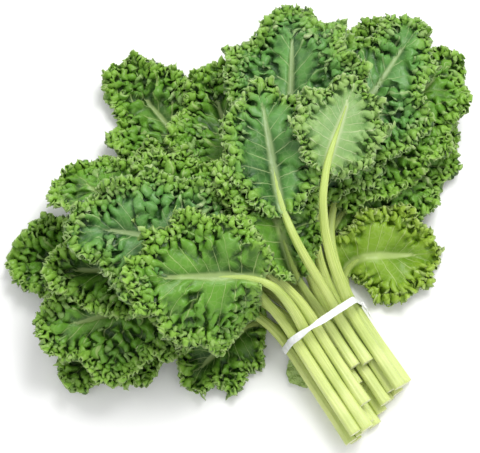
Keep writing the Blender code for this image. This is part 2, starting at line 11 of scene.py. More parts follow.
import bmesh
import bpy
import numpy as np
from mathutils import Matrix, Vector


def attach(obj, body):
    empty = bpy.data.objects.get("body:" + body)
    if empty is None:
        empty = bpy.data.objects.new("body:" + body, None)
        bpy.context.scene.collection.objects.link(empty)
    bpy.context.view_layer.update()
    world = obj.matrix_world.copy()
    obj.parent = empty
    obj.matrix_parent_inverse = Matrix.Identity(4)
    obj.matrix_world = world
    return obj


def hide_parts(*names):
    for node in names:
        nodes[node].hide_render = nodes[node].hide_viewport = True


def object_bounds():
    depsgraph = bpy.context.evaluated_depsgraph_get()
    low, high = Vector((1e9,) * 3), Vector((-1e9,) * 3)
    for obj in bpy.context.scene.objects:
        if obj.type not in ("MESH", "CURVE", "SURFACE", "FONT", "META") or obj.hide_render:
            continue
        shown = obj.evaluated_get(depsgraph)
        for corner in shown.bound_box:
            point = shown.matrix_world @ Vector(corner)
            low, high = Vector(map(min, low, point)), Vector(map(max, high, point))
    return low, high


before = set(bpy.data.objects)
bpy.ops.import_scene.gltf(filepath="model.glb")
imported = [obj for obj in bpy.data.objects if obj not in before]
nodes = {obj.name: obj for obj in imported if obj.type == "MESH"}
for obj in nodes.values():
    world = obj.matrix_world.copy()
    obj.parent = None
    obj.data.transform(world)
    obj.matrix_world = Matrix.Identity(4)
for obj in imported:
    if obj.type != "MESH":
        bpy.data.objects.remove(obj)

MM = 0.001
STARTED = time.time()
bpy.context.view_layer.update()
cad_low, cad_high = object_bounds()
leaf_names = sorted(name[: -len("_blade")] for name in nodes if name.endswith("_blade"))
print("leaves:", len(leaf_names), "box mm:", [round(s / MM) for s in cad_high - cad_low])

# %% [markdown]
# ## Helpers for numbers
# Leaves are made of tens of thousands of points, so their shapes are worked out
# with numpy arrays, which treat all the points of a leaf in one step.


# %% Small helpers
def ease(share):
    share = np.clip(share, 0.0, 1.0)
    return share * share * (3.0 - 2.0 * share)


def between(share, start, end):
    return start + (end - start) * share


def select_only(obj):
    bpy.ops.object.select_all(action="DESELECT")
    obj.select_set(True)
    bpy.context.view_layer.objects.active = obj


def merged_mesh(node):
    """Points and triangles of a CAD node, with its loose triangles joined."""
    build = bmesh.new()
    build.from_mesh(nodes[node].data)
    bmesh.ops.remove_doubles(build, verts=build.verts, dist=0.02 * MM)
    points = np.array([v.co for v in build.verts])
    triangles = np.array([[v.index for v in f.verts] for f in build.faces])
    build.free()
    return points, triangles


def edges_of(triangles):
    """Each edge once, and for each triangle the rows of its three edges."""
    sides = np.concatenate([triangles[:, [0, 1]], triangles[:, [1, 2]], triangles[:, [2, 0]]])
    sides.sort(axis=1)
    edges, rows, uses = np.unique(sides, axis=0, return_inverse=True, return_counts=True)
    return edges, rows.reshape(3, -1).T, uses


# %% [markdown]
# ## The rib of each leaf
# A CAD stalk is a chain of eight-sided rings. Two opposite corners of a ring are
# its farthest pair, and their middle is the ring's centre, so the chain of centres
# is the line that the new stalk and the blade's veins follow.


# %% Find a stalk's centres and radii
def ring_numbers(triangles, first, count):
    """How many edges each point is from the first ring."""
    edges, _, _ = edges_of(triangles)
    number = np.full(count, -1)
    number[first] = 0
    for ring in range(1, count):
        a, b = number[edges[:, 0]], number[edges[:, 1]]
        onward = edges[(a == ring - 1) & (b < 0), 1]
        backward = edges[(b == ring - 1) & (a < 0), 0]
        if len(onward) + len(backward) == 0:
            break
        number[onward] = ring
        number[backward] = ring
    return number


def stalk_chain(name):
    """Centres and radii of the stalk's rings, from the cut end to the tip."""
    points, triangles = merged_mesh(name + "_stalk")
    first = points[:, 1] < points[:, 1].min() + 1.2 * MM
    number = ring_numbers(triangles, first, len(points))
    centres, radii = [], []
    for ring in range(number.max() + 1):
        group = points[number == ring]
        apart = np.linalg.norm(group[:, None] - group[None], axis=2)
        a, b = np.unravel_index(apart.argmax(), apart.shape)
        radius = 0.5 * apart[a, b]
        if radii and radius > 1.1 * radii[-1]:
            continue
        centres.append(0.5 * (group[a] + group[b]))
        radii.append(radius)
    return np.array(centres), np.array(radii)


# %% [markdown]
# ## The blade as one sheet
# A CAD blade has two faces a millimetre apart. Halfway between them is the sheet
# that the new leaf grows from, so each point is paired with its twin on the other
# face, and the faces round the rim, which join twins, are left out.


# %% Find a blade's middle sheet
def side_labels(triangles, count):
    """For each point, the lowest number among the points that it is joined to."""
    edges, _, _ = edges_of(triangles)
    label = np.arange(count)
    for _ in range(count):
        low = np.minimum(label[edges[:, 0]], label[edges[:, 1]])
        before = label.copy()
        np.minimum.at(label, edges[:, 0], low)
        np.minimum.at(label, edges[:, 1], low)
        if np.array_equal(before, label):
            break
    return label


def middle_sheet(name):
    points, triangles = merged_mesh(name + "_blade")
    apart = np.linalg.norm(points[:, None] - points[None], axis=2)
    np.fill_diagonal(apart, np.inf)
    twin = apart.argmin(axis=1)
    kept = np.ones(len(triangles), bool)
    for k in range(3):
        mate = twin[triangles[:, k]]
        kept &= (triangles[:, (k + 1) % 3] != mate) & (triangles[:, (k + 2) % 3] != mate)
    triangles = triangles[kept]
    # a triangle that the rim has taken a corner of has no partner on the other side
    known = {tuple(sorted(row)) for row in triangles.tolist()}
    paired = np.array([tuple(sorted(row)) in known for row in twin[triangles].tolist()])
    both, single = triangles[paired], triangles[~paired]
    label = side_labels(both, len(points))
    above = label == label[both[0, 0]]
    corners = points[both[above[both[:, 0]]]]
    if np.cross(corners[:, 1] - corners[:, 0], corners[:, 2] - corners[:, 0])[:, 2].sum() < 0:
        above = ~above
    whole = single[above[single].all(axis=1)]
    mirrored = twin[single[~above[single].any(axis=1)]][:, ::-1]
    one_side = np.concatenate((both[above[both[:, 0]]], whole, mirrored))
    used, rows = np.unique(one_side, return_inverse=True)
    middle = 0.5 * (points[used] + points[twin[used]])
    assert len(one_side), name
    return middle, rows.reshape(-1, 3)


# %% [markdown]
# ## Leaf coordinates
# Veins have to follow the blade wherever it bends, so every point of the sheet is
# given a place in the flat leaf: how far along the rib its side vein starts, and
# how far out along that vein it lies. Side veins lean back at the base and point
# forward at the tip.

# %% Veins' lean, and a point's place in the flat leaf
BLADE_RING = 7  # the CAD stalk's ring at which the blade begins
BACK_LEAN = math.radians(98)
FRONT_LEAN = math.radians(24)
LEAN_POWER = 1.3


def vein_lean(share):
    return between(np.clip(share, 0, 1) ** LEAN_POWER, BACK_LEAN, FRONT_LEAN)


def along_rib(plan, rib):
    """How far along the rib's plan each point lies, and how far to its right."""
    steps = np.diff(rib, axis=0)
    lengths = np.linalg.norm(steps, axis=1)
    ways = steps / lengths[:, None]
    starts = np.concatenate(([0.0], np.cumsum(lengths)))
    best = np.full(len(plan), np.inf)
    place = np.zeros(len(plan))
    right = np.zeros(len(plan))
    for k, way in enumerate(ways):
        offset = plan - rib[k]
        low = -np.inf if k == 0 else 0.0
        high = np.inf if k == len(ways) - 1 else lengths[k]
        on = np.clip(offset @ way, low, high)
        apart = np.linalg.norm(offset - on[:, None] * way, axis=1)
        closer = apart < best
        best[closer] = apart[closer]
        place[closer] = (starts[k] + on)[closer]
        right[closer] = (offset @ np.array((way[1], -way[0])))[closer]
    return place, np.sign(right) * best, starts[-1]


def flat_place(plan, rib):
    """Where along the rib each point's side vein starts, from 0 to 1 and a little past
    it round the tip, and how far out along the vein the point is, negative on the left."""
    place, right, length = along_rib(plan, rib)
    out = np.abs(right)
    low = np.zeros(len(plan))
    high = np.ones(len(plan))
    for _ in range(24):
        middle = 0.5 * (low + high)
        ahead = middle * length + out / np.tan(vein_lean(middle)) < place
        low = np.where(ahead, middle, low)
        high = np.where(ahead, high, middle)
    share = 0.5 * (low + high)
    lean = vein_lean(share)
    reach = out / np.sin(lean)
    fan = np.arctan2(out, np.maximum(place - length, 1e-9))
    beyond = (place > length) & (fan < FRONT_LEAN)
    share = np.where(beyond, 1.0 + 0.12 * (1.0 - fan / FRONT_LEAN), share)
    reach = np.where(beyond, np.hypot(out, place - length), reach)
    return share, np.sign(right) * reach, length


# %% [markdown]
# ## Growing the frills
# A kale leaf is curly because its margin grows longer than the blade inside it can
# hold flat, so the spare length buckles up and down. The sheet is grown the same
# way: its edges are told to be longer near the margin, and a few hundred small
# steps let each point move until the edges have their lengths and the sheet bends
# smoothly. This is done on a coarse sheet first, for the large waves, and then on
# finer and finer ones, for the curls on them.


# %% Split edges where the sheet should be finer
def split_edges(triangles, marked, edges, rows, count):
    """Triangles with the marked edges split in two; new points come in edge order."""
    new_row = np.full(len(edges), -1)
    new_row[marked] = count + np.arange(marked.sum())
    mids = new_row[rows]
    has = mids >= 0
    total = has.sum(axis=1)
    made = [triangles[total == 0]]
    for k in range(3):
        a, b, c = (triangles[:, (k + j) % 3] for j in range(3))
        ab, bc, ca = (mids[:, (k + j) % 3] for j in range(3))
        one = (total == 1) & has[:, k]
        made.append(np.stack((a[one], ab[one], c[one]), axis=1))
        made.append(np.stack((ab[one], b[one], c[one]), axis=1))
        two = (total == 2) & ~has[:, (k + 2) % 3]
        made.append(np.stack((ab[two], b[two], bc[two]), axis=1))
        made.append(np.stack((a[two], ab[two], bc[two]), axis=1))
        made.append(np.stack((a[two], bc[two], c[two]), axis=1))
    three = total == 3
    a, b, c = triangles[three].T
    ab, bc, ca = mids[three].T
    for corner in ((a, ab, ca), (ab, b, bc), (ca, bc, c), (ab, bc, ca)):
        made.append(np.stack(corner, axis=1))
    return np.concatenate(made)


# %% Let the sheet relax
def neighbour_sum(values, a, b, count):
    """For each point, the sum of its neighbours' values."""
    total = np.empty((count, values.shape[1]))
    for k in range(values.shape[1]):
        total[:, k] = np.bincount(a, values[b, k], count) + np.bincount(b, values[a, k], count)
    return total


def smoothed(values, edges, rounds):
    a, b = edges.T
    count = len(values)
    degree = (np.bincount(a, minlength=count) + np.bincount(b, minlength=count))[:, None]
    for _ in range(rounds):
        values = 0.5 * (values + neighbour_sum(values, a, b, count) / degree)
    return values


def relax(points, edges, rest, hold, home, rounds, stiffness):
    """Move points until edges have their rest lengths and the sheet bends smoothly."""
    count = len(points)
    a, b = edges.T
    degree = np.bincount(a, minlength=count) + np.bincount(b, minlength=count)
    degree = degree[:, None].astype(float)
    for turn in range(rounds):
        if turn % 5 == 4:
            drift = home - points
            for _ in range(DRIFT_ROUNDS):
                drift = 0.5 * (drift + neighbour_sum(drift, a, b, count) / degree)
            points = points + DRIFT_SHARE * drift
        way = points[b] - points[a]
        length = np.maximum(np.linalg.norm(way, axis=1), 1e-7)
        pull = way * (0.5 * (length - rest) / length)[:, None]
        push = np.empty_like(points)
        for k in range(3):
            push[:, k] = np.bincount(a, pull[:, k], count) - np.bincount(b, pull[:, k], count)
        points = points + 1.6 * push / degree
        bend = neighbour_sum(points, a, b, count) / degree - points
        over = neighbour_sum(bend, a, b, count) / degree - bend
        points = points - stiffness * over
        points += hold[:, None] * (home - points)
        points = np.clip(points, BOX_LOW, BOX_HIGH)
    return points


# %% Grow one blade
DRIFT_ROUNDS = 16
DRIFT_SHARE = np.array((0.5, 0.5, 0.15))  # sideways, and up and down
FLAT_LEAVES = {
    "leaf_01": 0.8,
    "leaf_07": 0.75,
    "leaf_19": 0.8,
    "leaf_20": 0.95,
    "leaf_18": 1.0,
    "leaf_14": 1.1,
}
FRILLED = 1.25
OUTWARD_SHARE = 0.28  # how much of the growth goes outward, and not along the margin
PATCH_WAVE = 34 * MM  # of the uneven line between the flat middle and the frill
PATCHINESS = 0.45
TEETH = (-0.2 * MM, 1.5 * MM)  # how far the margin's points are pulled out
CREST_ROUNDS = 20  # of smoothing, for the level that crests and hollows are told from
CREST_HEIGHT = 2.0 * MM
GROWTH_STEPS = (
    # edge at the margin and inside, mm; growth; how deep it reaches; rounds; stiffness
    (6.0, 10.0, 2.5, 2.0, 80, 0.24),
    (3.6, 6.0, 3.6, 1.9, 100, 0.27),
    (2.3, 4.5, 4.2, 1.5, 100, 0.27),
    (1.82, 4.6, 4.8, 0.75, 90, 0.20),
)
BOX_LOW = np.array(cad_low) + 1.0 * MM
BOX_HIGH = np.array(cad_high) - 1.0 * MM


def rim_distance(points, edges, rim_points):
    reach = np.full(len(points), np.inf)
    reach[rim_points] = 0.0
    a, b = edges.T
    lengths = np.linalg.norm(points[a] - points[b], axis=1)
    for _ in range(400):
        before = reach.copy()
        np.minimum.at(reach, b, reach[a] + lengths)
        np.minimum.at(reach, a, reach[b] + lengths)
        if np.array_equal(before, reach):
            break
    return reach


def toothed(points, edges, rim, random):
    """Pull the margin's points out by uneven lengths, which gives it small teeth."""
    a, b = edges.T
    around = neighbour_sum(points, a, b, len(points))
    degree = np.bincount(edges.ravel(), minlength=len(points))[:, None]
    outward = (points - around / degree)[rim]
    outward /= np.linalg.norm(outward, axis=1)[:, None] + 1e-9
    points[rim] += outward * random.uniform(*TEETH, (len(rim), 1))
    return np.clip(points, BOX_LOW, BOX_HIGH)


def grow_blade(name, seed):
    random = np.random.default_rng(seed)
    centres, radii = stalk_chain(name)
    rib = centres[BLADE_RING:]
    middle, triangles = middle_sheet(name)
    home = middle.copy()
    metric = middle.copy()
    points = middle.copy()
    angles = random.uniform(0, math.pi, 4)
    turns = np.stack((np.cos(angles), np.sin(angles))) * math.tau / PATCH_WAVE
    phases = random.uniform(0, math.tau, 4)
    for fine, coarse, growth, depth, rounds, stiffness in GROWTH_STEPS:
        for _ in range(2):
            edges, rows, uses = edges_of(triangles)
            rim = np.unique(edges[uses == 1])
            to_rim = rim_distance(metric, edges, rim)
            share, reach, length = flat_place(home[:, :2], rib[:, :2])
            inward = to_rim / (to_rim + np.abs(reach) + 1e-9)
            aim = between(np.clip(inward[edges].mean(axis=1) * 1.6, 0, 1), fine, coarse) * MM
            now = np.linalg.norm(points[edges[:, 0]] - points[edges[:, 1]], axis=1)
            material = np.linalg.norm(metric[edges[:, 0]] - metric[edges[:, 1]], axis=1)
            marked = np.maximum(now, material) > 1.4 * aim
            if not marked.any():
                break
            triangles = split_edges(triangles, marked, edges, rows, len(points))
            ends = edges[marked]
            home = np.concatenate((home, home[ends].mean(axis=1)))
            metric = np.concatenate((metric, metric[ends].mean(axis=1)))
            points = np.concatenate((points, points[ends].mean(axis=1)))
        edges, rows, uses = edges_of(triangles)
        rim = np.unique(edges[uses == 1])
        to_rim = rim_distance(metric, edges, rim)
        share, reach, length = flat_place(home[:, :2], rib[:, :2])
        inward = to_rim / (to_rim + np.abs(reach) + 1e-9)
        points = points + random.normal(0, 0.12 * fine * MM, points.shape) * (1 - inward[:, None])
        uneven = np.sin(home[:, :2] @ turns + phases).sum(axis=1) / 2
        band = depth * FLAT_LEAVES.get(name, FRILLED) * (1.0 + PATCHINESS * uneven)
        grown = 1.0 + (growth - 1.0) * ease(1.0 - inward / band)
        if fine == GROWTH_STEPS[0][0]:
            metric[:, 2] = smoothed(metric[:, 2:], edges, 12)[:, 0]
        whole = np.linalg.norm(metric[edges[:, 0]] - metric[edges[:, 1]], axis=1)
        outward = np.minimum(np.abs(to_rim[edges[:, 0]] - to_rim[edges[:, 1]]), whole)
        more = grown[edges].mean(axis=1)
        wider = 1.0 + OUTWARD_SHARE * (more - 1.0)
        rest = np.sqrt((whole**2 - outward**2) * more**2 + (outward * wider) ** 2)
        hold = 0.08 * inward**3
        points = relax(points, edges, rest, hold, home, rounds, stiffness)
    points = sink_on_rib(points, home, rib, radii[BLADE_RING:])
    points = toothed(points, edges, rim, random)
    # crest height over the smoothed sheet; the finishes paint the hollows darker and the crests lighter from
    # it, as painted shade and painted light
    level = smoothed(points[:, 2:], edges, CREST_ROUNDS)[:, 0]
    crest = (points[:, 2] - level) / CREST_HEIGHT
    return points, triangles, share, reach, to_rim, crest


def rib_slimness(place):
    """How much slimmer the rib is than the CAD rod, at a distance into the blade."""
    return 1.0 - RIB_SLIMMING * ease(place / RIB_SLIMS_IN)


def sink_on_rib(points, home, rib, radii):
    """Bring the sheet onto the rib, so that the rib shows on both of its sides."""
    place, right, length = along_rib(points[:, :2], rib[:, :2])
    arc = np.concatenate(([0.0], np.cumsum(np.linalg.norm(np.diff(rib[:, :2], axis=0), axis=1))))
    radius = np.interp(place, arc, radii)
    height = np.interp(place, arc, rib[:, 2])
    near = np.exp(-((right / (radius + RIB_BLEND)) ** 2)) * (place < length + 4 * MM)
    radius = radius * rib_slimness(place)
    over = points[:, 2] - height
    upward = np.sign((near * (home[:, 2] - height)).sum())
    shows = between(ease(place / length), RIB_SHOWS, RIB_HIDDEN)
    wanted = upward * shows * radius
    points[:, 2] += near * np.clip(wanted - over, -RIB_PULL, RIB_PULL)
    return points


# %% Make the mesh objects
RIB_BLEND = 2.5 * MM
RIB_SHOWS = 0.3  # height of the sheet over the rib's middle, in rib radii
RIB_HIDDEN = 1.3  # the same at the leaf's tip
RIB_PULL = 8 * MM  # the farthest that the sheet is moved onto the rib
RIB_SLIMMING = 0.5
RIB_SLIMS_IN = 55 * MM
VEINS = 9  # side veins on each side of the rib
LEAF_THICKNESS = 0.5 * MM


def blade_object(name, points, triangles, share, reach, to_rim, crest):
    mesh = bpy.data.meshes.new(name)
    mesh.from_pydata(points.tolist(), [], triangles.tolist())
    layer = mesh.uv_layers.new(name="leaf")
    corner_points = np.empty(len(mesh.loops), int)
    mesh.loops.foreach_get("vertex_index", corner_points)
    vein = share * VEINS + np.where(reach < 0, 0.5, 0.0)
    flat = np.stack((vein, reach / 0.1), axis=1)[corner_points]
    layer.data.foreach_set("uv", flat.ravel())
    rim = mesh.attributes.new("from_margin", "FLOAT", "POINT")
    rim.data.foreach_set("value", (to_rim / MM).astype(np.float32))
    high = mesh.attributes.new("crest", "FLOAT", "POINT")
    high.data.foreach_set("value", crest.astype(np.float32))
    mesh.shade_smooth()
    obj = bpy.data.objects.new(name, mesh)
    bpy.context.scene.collection.objects.link(obj)
    solid = obj.modifiers.new("thickness", "SOLIDIFY")
    solid.thickness = LEAF_THICKNESS
    solid.offset = 0.0
    solid.material_offset = 1
    solid.material_offset_rim = 0
    return obj


leaves = {}
total = 0
for number, name in enumerate(leaf_names):
    points, triangles, share, reach, to_rim, crest = grow_blade(name, 100 + number)
    leaf = blade_object(name + "_leaf", points, triangles, share, reach, to_rim, crest)
    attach(leaf, "root")
    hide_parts(name + "_blade")
    leaves[name] = leaf
    total += 2 * len(triangles)
print("blade triangles:", total, "time", round(time.time() - STARTED))

# %% [markdown]
# ## Stalks
# A kale stalk is a solid rod, ridged lengthwise and a little hollowed on top. The
# CAD's rings give its line. It is drawn again as a smooth path with many narrow
# facets round it, because ridges can't be had from a tube with eight sides.


# %% A smooth line through the rings
STALK_STEP = 2.5 * MM
STALK_AROUND = 32


def smooth_line(centres, radii):
    lengths = np.linalg.norm(np.diff(centres, axis=0), axis=1)
    arc = np.concatenate(([0.0], np.cumsum(lengths)))
    count = int(arc[-1] / STALK_STEP)
    even = np.linspace(0, arc[-1], count)
    line = np.stack([np.interp(even, arc, centres[:, k]) for k in range(3)], axis=1)
    radius = np.interp(even, arc, radii)
    for _ in range(12):
        line[1:-1] = 0.5 * line[1:-1] + 0.25 * (line[:-2] + line[2:])
    return line, radius, even


def stalk_object(name, seed):
    random = np.random.default_rng(seed)
    centres, radii = stalk_chain(name)
    line, radius, even = smooth_line(centres, radii)
    start = np.linalg.norm(np.diff(centres[: BLADE_RING + 1], axis=0), axis=1).sum()
    radius = radius * rib_slimness(even - start)
    way = np.gradient(line, axis=0)
    way /= np.linalg.norm(way, axis=1)[:, None]
    side = np.cross(way, (0, 0, 1.0))
    side /= np.linalg.norm(side, axis=1)[:, None]
    lift = np.cross(side, way)
    turn = np.arange(STALK_AROUND) / STALK_AROUND * math.tau
    wobble = random.uniform(0, math.tau, 4)
    ridges = 0.035 * np.cos(9 * turn + wobble[0]) + 0.02 * np.cos(14 * turn + wobble[1])
    hollow = 0.14 * np.exp(-((np.angle(np.exp(1j * turn))) / 0.55) ** 2)
    shape = 1.0 + ridges - hollow
    swell = 1.0 + 0.035 * np.sin(even[:, None] / (17 * MM) + wobble[2])
    spread = radius[:, None] * shape[None] * swell
    ring = np.cos(turn)[None, :, None] * lift[:, None] + np.sin(turn)[None, :, None] * side[:, None]
    points = line[:, None] + ring * spread[:, :, None]
    rings = len(line)
    points = points.reshape(-1, 3)
    cut = [line[0] + (points[:STALK_AROUND] - line[0]) * share + way[0] * depth * MM
           for share, depth in ((0.93, -0.25), (0.8, 0.0), (0.4, 0.35))]
    tip = line[-1] + way[-1] * radius[-1]
    everything = np.concatenate([points, *cut, [line[0] + way[0] * 0.5 * MM], [tip]])
    everything[:, 2] = np.maximum(everything[:, 2], 0.05 * MM)
    faces, marks = [], []
    base = rings * STALK_AROUND
    loops = [0, base, base + STALK_AROUND, base + 2 * STALK_AROUND]
    for k in range(STALK_AROUND):
        after = (k + 1) % STALK_AROUND
        for row in range(rings - 1):
            low = row * STALK_AROUND
            faces.append((low + k, low + STALK_AROUND + k, low + STALK_AROUND + after, low + after))
            marks.append(0)
        for outer, inner in zip(loops[:-1], loops[1:]):
            faces.append((outer + k, outer + after, inner + after, inner + k))
            marks.append(1)
        faces.append((loops[-1] + k, loops[-1] + after, len(everything) - 2))
        marks.append(1)
        last = (rings - 1) * STALK_AROUND
        faces.append((last + k, len(everything) - 1, last + after))
        marks.append(0)
    mesh = bpy.data.meshes.new(name + "_rod")
    mesh.from_pydata(everything.tolist(), [], faces)
    mesh.polygons.foreach_set("material_index", marks)
    layer = mesh.uv_layers.new(name="stalk")
    across = np.concatenate((np.tile(turn / math.tau, rings), np.zeros(len(everything) - base)))
    along = np.concatenate((np.repeat(even / 0.1, STALK_AROUND), np.zeros(len(everything) - base)))
    corner_points = np.empty(len(mesh.loops), int)
    mesh.loops.foreach_get("vertex_index", corner_points)
    layer.data.foreach_set("uv", np.stack((across, along), axis=1)[corner_points].ravel())
    reach = mesh.attributes.new("from_blade", "FLOAT", "POINT")
    ends = np.full(len(everything) - base, -start)
    past = np.concatenate((np.repeat(even - start, STALK_AROUND), ends))
    past[-1] = even[-1] - start
    reach.data.foreach_set("value", (past / MM).astype(np.float32))
    mesh.shade_smooth()
    obj = bpy.data.objects.new(name + "_rod", mesh)
    bpy.context.scene.collection.objects.link(obj)
    build = bmesh.new()
    build.from_mesh(mesh)
    bmesh.ops.recalc_face_normals(build, faces=build.faces)
    if build.calc_volume(signed=True) < 0:
        bmesh.ops.reverse_faces(build, faces=build.faces)
    build.to_mesh(mesh)
    build.free()
    return obj


rods = {}
for number, name in enumerate(leaf_names):
    rod = stalk_object(name, 300 + number)
    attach(rod, "root")
    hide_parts(name + "_stalk")
    rods[name] = rod
print("stalk triangles:", sum(2 * len(r.data.polygons) for r in rods.values()))

# %% [markdown]
# ## Twist tie and leaflet
# The tie is a ribbon of paper over a wire, creased where it was pulled tight, with
# its two ends twisted together. The leaflet is a small curled leaf low on a stalk.
# Both are taken from their CAD solids, made finer with a Subdivision Surface
# modifier, and then creased with ridged waves, because a crease or a curl has to
# follow the shape that is already there.

# %% Finer copies of CAD solids
def fine_copy(node, name, levels):
    points, triangles = merged_mesh(node)
    mesh = bpy.data.meshes.new(name)
    mesh.from_pydata(points.tolist(), [], triangles.tolist())
    obj = bpy.data.objects.new(name, mesh)
    bpy.context.scene.collection.objects.link(obj)
    select_only(obj)
    finer = obj.modifiers.new("finer", "SUBSURF")
    finer.levels = finer.render_levels = levels
    bpy.ops.object.modifier_apply(modifier=finer.name)
    obj.data.shade_smooth()
    return obj


def crease(obj, height, wave, seed):
    """Move the points along their normals by a sum of waves in random directions."""
    random = np.random.default_rng(seed)
    count = len(obj.data.vertices)
    points = np.empty(count * 3)
    normals = np.empty(count * 3)
    obj.data.vertices.foreach_get("co", points)
    obj.data.vertices.foreach_get("normal", normals)
    points, normals = points.reshape(-1, 3), normals.reshape(-1, 3)
    ways = random.normal(0, 1, (3, CREASES))
    ways *= math.tau / wave / np.linalg.norm(ways, axis=0) * random.uniform(0.6, 2.2, CREASES)
    sharp = 1.0 - 2.0 * np.abs(np.sin(points @ ways + random.uniform(0, math.tau, CREASES)))
    moved = points + normals * (height * sharp.sum(axis=1) / CREASES**0.5)[:, None]
    moved = np.clip(moved, BOX_LOW, BOX_HIGH)
    obj.data.vertices.foreach_set("co", moved.ravel())
    obj.data.update()


# %% Ribbon and leaflet
CREASES = 6
tie = fine_copy("twist_tie", "tie_ribbon", 2)
crease(tie, 0.16 * MM, 16 * MM, 400)
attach(tie, "root")
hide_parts("twist_tie")
leaflet = fine_copy("leaf_01_leaflet", "small_leaflet", 3)
crease(leaflet, 0.7 * MM, 9 * MM, 401)
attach(leaflet, "root")
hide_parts("leaf_01_leaflet")
print("tie faces:", len(tie.data.polygons), "leaflet faces:", len(leaflet.data.polygons))

# %% [markdown]
# ## Finishes
# A leaf lets some light through, so its finish mixes the Principled shader with a
# Translucent one. Veins follow the leaf coordinates, hollows are painted darker than crests
# as painted shade and light, and raised margins are painted paler as a painted highlight.
# Small helpers keep the node building readable.


# %% Node helpers
class Finish:
    """A material whose nodes are added one by one."""

    def __init__(self, name):
        self.material = bpy.data.materials.new(name)
        self.material.use_nodes = True
        self.tree = self.material.node_tree
        self.shader = self.tree.nodes["Principled BSDF"]

    def add(self, kind, **settings):
        node = self.tree.nodes.new(kind)
        for key, value in settings.items():
            setattr(node, key, value)
        return node

    def put(self, socket, value):
        if isinstance(value, bpy.types.NodeSocket):
            self.tree.links.new(value, socket)
        else:
            socket.default_value = value

    def math(self, operation, *values, clamp=False):
        node = self.add("ShaderNodeMath", operation=operation, use_clamp=clamp)
        for socket, value in zip(node.inputs, values):
            self.put(socket, value)
        return node.outputs[0]

    def mix(self, share, first, second, blend="MIX"):
        node = self.add("ShaderNodeMix", data_type="RGBA", blend_type=blend)
        sockets = (node.inputs[0], node.inputs[6], node.inputs[7])
        for socket, value in zip(sockets, (share, first, second)):
            if isinstance(value, tuple) and len(value) == 3:
                value = (*value, 1.0)
            self.put(socket, value)
        return node.outputs[2]

    def ramp(self, value, low, high, first=0.0, last=1.0):
        node = self.add("ShaderNodeMapRange", interpolation_type="SMOOTHSTEP")
        for socket, given in zip(node.inputs, (value, low, high, first, last)):
            self.put(socket, given)
        return node.outputs[0]

    def noise(self, vector, scale, detail=2.0, rough=0.5):
        node = self.add("ShaderNodeTexNoise")
        self.put(node.inputs["Vector"], vector)
        node.inputs["Scale"].default_value = scale
        node.inputs["Detail"].default_value = detail
        node.inputs["Roughness"].default_value = rough
        return node.outputs["Fac"]

    def place(self):
        return self.add("ShaderNodeTexCoord").outputs["Object"]

    def value_of(self, attribute):
        return self.add("ShaderNodeAttribute", attribute_name=attribute).outputs["Fac"]

    def uv(self, layer):
        node = self.add("ShaderNodeUVMap", uv_map=layer)
        split = self.add("ShaderNodeSeparateXYZ")
        self.put(split.inputs[0], node.outputs[0])
        return split.outputs[0], split.outputs[1]

    def bump(self, height, strength, distance):
        node = self.add("ShaderNodeBump")
        node.inputs["Strength"].default_value = strength
        node.inputs["Distance"].default_value = distance
        self.put(node.inputs["Height"], height)
        self.put(self.shader.inputs["Normal"], node.outputs[0])
        return node.outputs[0]
